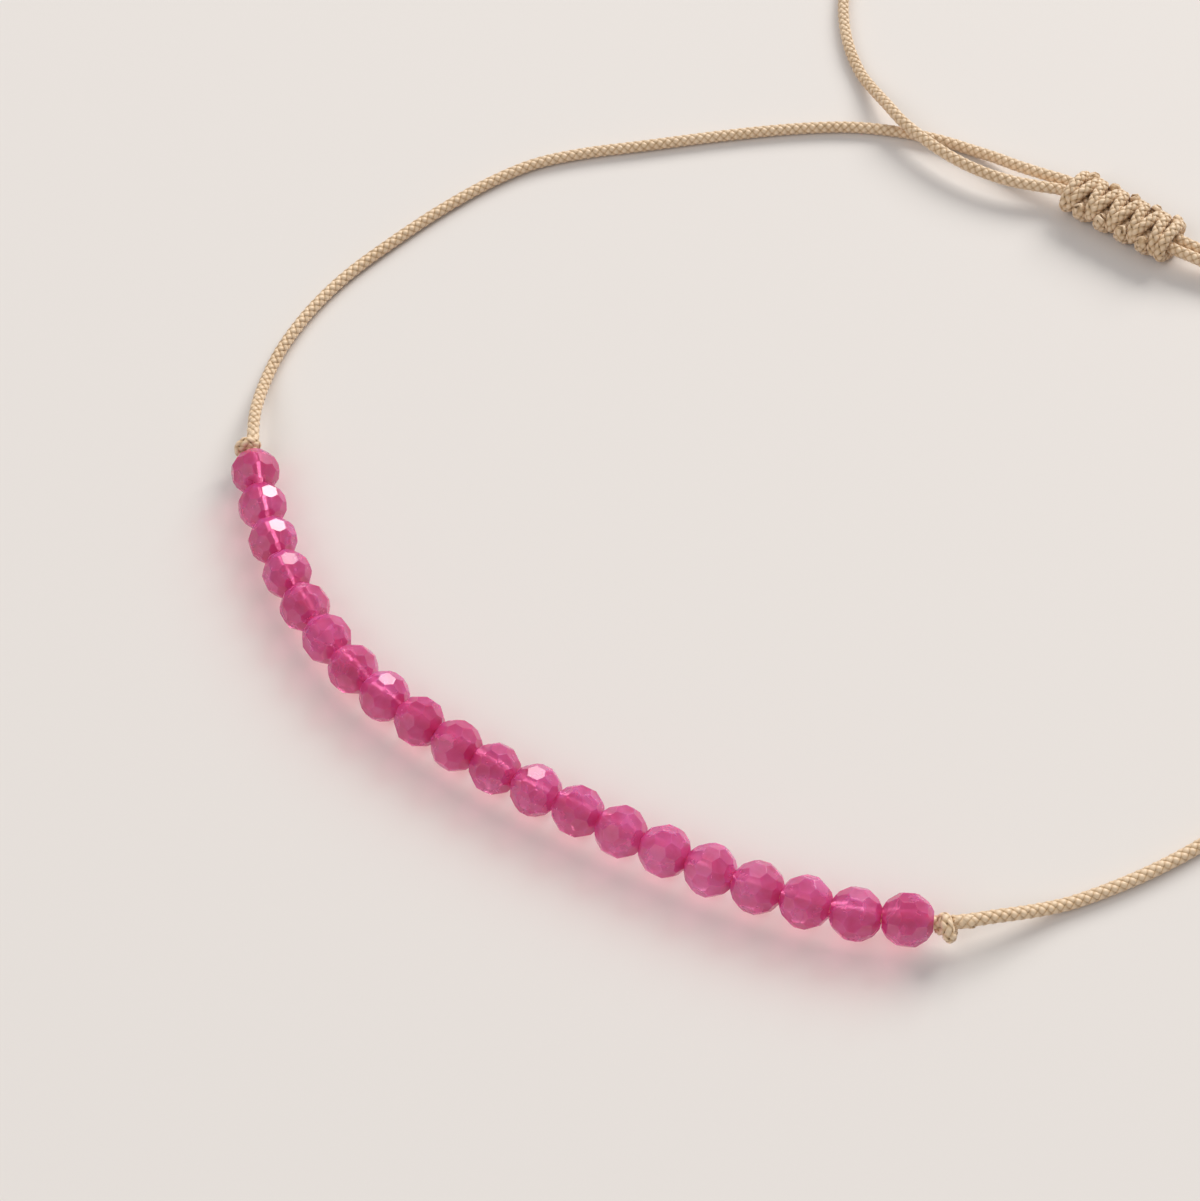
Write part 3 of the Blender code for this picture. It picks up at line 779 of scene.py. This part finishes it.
def make_stone_material():
    material, graph, shader = new_material("raspberry stone")
    where = graph.node("ShaderNodeTexCoord", output="Object")
    values = {"Vector": where, "Scale": 1 / STONE_TONE_SIZE, "Detail": 1.0}
    tone = graph.node("ShaderNodeTexNoise", values=values)
    values = {"Vector": where, "Scale": 1 / CLOUD_SIZE, "Detail": 3.0, "Roughness": 0.55, "Distortion": 0.6}
    clouds = graph.node("ShaderNodeTexNoise", values=values)
    lightness = (tone * 0.5 + clouds * 0.5).between(*LIGHTNESS_RANGE)
    graph.feed(shader.inputs["Base Color"], lightness.blend(STONE_DEEP, STONE_CLEAR))
    milky = clouds.between(*MILKY_RANGE)
    graph.feed(shader.inputs["Roughness"], STONE_ROUGHNESS + milky * MILKY_ROUGHNESS)
    slant = graph.node("ShaderNodeLayerWeight", values={"Blend": 0.5}, output="Facing")
    graph.feed(shader.inputs["Coat Weight"], 1 - slant.between(*SLANT_RANGE) * RIM_SOFTENING)
    shader.inputs["Coat Roughness"].default_value = 0.03
    shader.inputs["Coat IOR"].default_value = 1.5
    shader.inputs["Specular IOR Level"].default_value = 0.12
    shader.inputs["Transmission Weight"].default_value = 0.45
    shader.inputs["Subsurface Weight"].default_value = 1.0
    shader.inputs["Subsurface Radius"].default_value = STONE_GLOW_REACH
    shader.inputs["Subsurface Scale"].default_value = STONE_GLOW_DEPTH
    shader.inputs["IOR"].default_value = 1.6
    passing = graph.node("ShaderNodeBsdfTransparent", values={"Color": STONE_SHADOW})
    shadow_ray = graph.node("ShaderNodeLightPath", output="Is Shadow Ray")
    values = {0: shadow_ray, 1: Wire(graph.tree, shader.outputs["BSDF"]), 2: passing}
    surface = graph.node("ShaderNodeMixShader", values=values)
    graph.feed(material.node_tree.nodes["Material Output"].inputs["Surface"], surface)
    return material


stone = make_stone_material()
print(stone.name, "has", len(stone.node_tree.nodes), "nodes")

# %% Polished copies of the cut stones
EDGE_POLISH = 0.000022
SHARP_ANGLE = 0.1                      # radians between two facets, from which their edge is polished
FLAT_ANGLE = math.radians(0.5)         # below which two triangles are parts of one facet
STONE_GAP = 0.00001                    # left between the flat ends of two stones as they are seen
NEAR_END = 0.99                        # share of half a stone's length, past which lies its flat end


def polish(number):
    """A copy of a stone with polished edges, its flat ends brought close to its neighbours'."""
    node = f"bead_{number + 1:02d}"
    bm = bmesh.new()
    bm.from_mesh(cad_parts[node].data)
    bmesh.ops.remove_doubles(bm, verts=bm.verts, dist=1e-7)
    bmesh.ops.dissolve_limit(bm, angle_limit=FLAT_ANGLE, verts=bm.verts, edges=bm.edges)
    distance = row_middle + (number - (BEAD_COUNT - 1) / 2) * (BEAD_LENGTH + BEAD_GAP)
    middle = loop.at(distance) + Vector((0, 0, row_height))
    hole = loop.heading(distance)
    for corner in bm.verts:
        reach = (corner.co - middle).dot(hole)
        if abs(reach) > BEAD_LENGTH / 2 * NEAR_END:
            corner.co += hole * math.copysign((BEAD_GAP - STONE_GAP) / 2, reach)
    facet_edges = [edge for edge in bm.edges if edge.is_manifold and edge.calc_face_angle() > SHARP_ANGLE]
    bmesh.ops.bevel(
        bm, geom=facet_edges, offset=EDGE_POLISH, offset_type="OFFSET", segments=1, profile=0.5,
        affect="EDGES", clamp_overlap=True,
    )
    bmesh.ops.recalc_face_normals(bm, faces=bm.faces)
    mesh = bpy.data.meshes.new("cut_" + node)
    bm.to_mesh(mesh)
    bm.free()
    mesh.materials.append(stone)
    return add_piece("cut_" + node, mesh, [node])


stones = [polish(number) for number in range(BEAD_COUNT)]
print(len(stones), "stones with", sum(len(piece.data.polygons) for piece in stones), "faces")

# %% [markdown]
# ## The table and the light
#
# The picture needs a plain pale table, a large soft lamp behind the ring on the right, and a pale room
# that fills the shadows. A facet flashes where it mirrors a lamp, so a second, weaker lamp stands beside
# the first: the facets that find it turn a paler pink, and more of the stones come alive. The stones are a
# pure, strong pink. Blender's usual view transform fades such colours as they get brighter, so this scene
# takes the Standard one, which leaves them as they are.

# %% View and table
TABLE_SIZE = 3.0
FLOOR_COLOUR = (0.79, 0.745, 0.705, 1)
FLOOR_ROUGHNESS = 0.8

bpy.context.scene.view_settings.view_transform = "Standard"

bpy.ops.mesh.primitive_plane_add(size=TABLE_SIZE, location=(0, 0, 0))
table = bpy.context.object
table.name = "table"
table_material, _, table_shader = new_material("pale table")
table_shader.inputs["Base Color"].default_value = FLOOR_COLOUR
table_shader.inputs["Roughness"].default_value = FLOOR_ROUGHNESS
table.data.materials.append(table_material)

# %% Lamps and room
DAYLIGHT = (1.0, 0.98, 0.95)
PALE_BLUE = (0.97, 0.98, 1.0)
ROOM_COLOUR = (0.98, 0.98, 1.0, 1)
ROOM_STRENGTH = 0.39


def add_lamp(name, place, size, watts, colour):
    light = bpy.data.lights.new(name, "AREA")
    light.shape = "DISK"
    light.size = size
    light.energy = watts
    light.color = colour
    lamp = bpy.data.objects.new(name, light)
    lamp.location = place
    lamp.rotation_euler = (-Vector(place)).to_track_quat("-Z", "Y").to_euler()
    bpy.context.scene.collection.objects.link(lamp)
    return lamp


add_lamp("window", place=(0.87, 0.93, 0.78), size=0.80, watts=16.5, colour=DAYLIGHT)
add_lamp("second window", place=(0.25, 1.25, 0.78), size=0.54, watts=4.2, colour=DAYLIGHT)
fill = add_lamp("fill", place=(-1.05, -0.60, 1.20), size=1.20, watts=8.0, colour=PALE_BLUE)
fill.visible_glossy = False

world = bpy.data.worlds.new("pale room")
world.use_nodes = True
background = world.node_tree.nodes["Background"]
background.inputs["Color"].default_value = ROOM_COLOUR
background.inputs["Strength"].default_value = ROOM_STRENGTH
bpy.context.scene.world = world
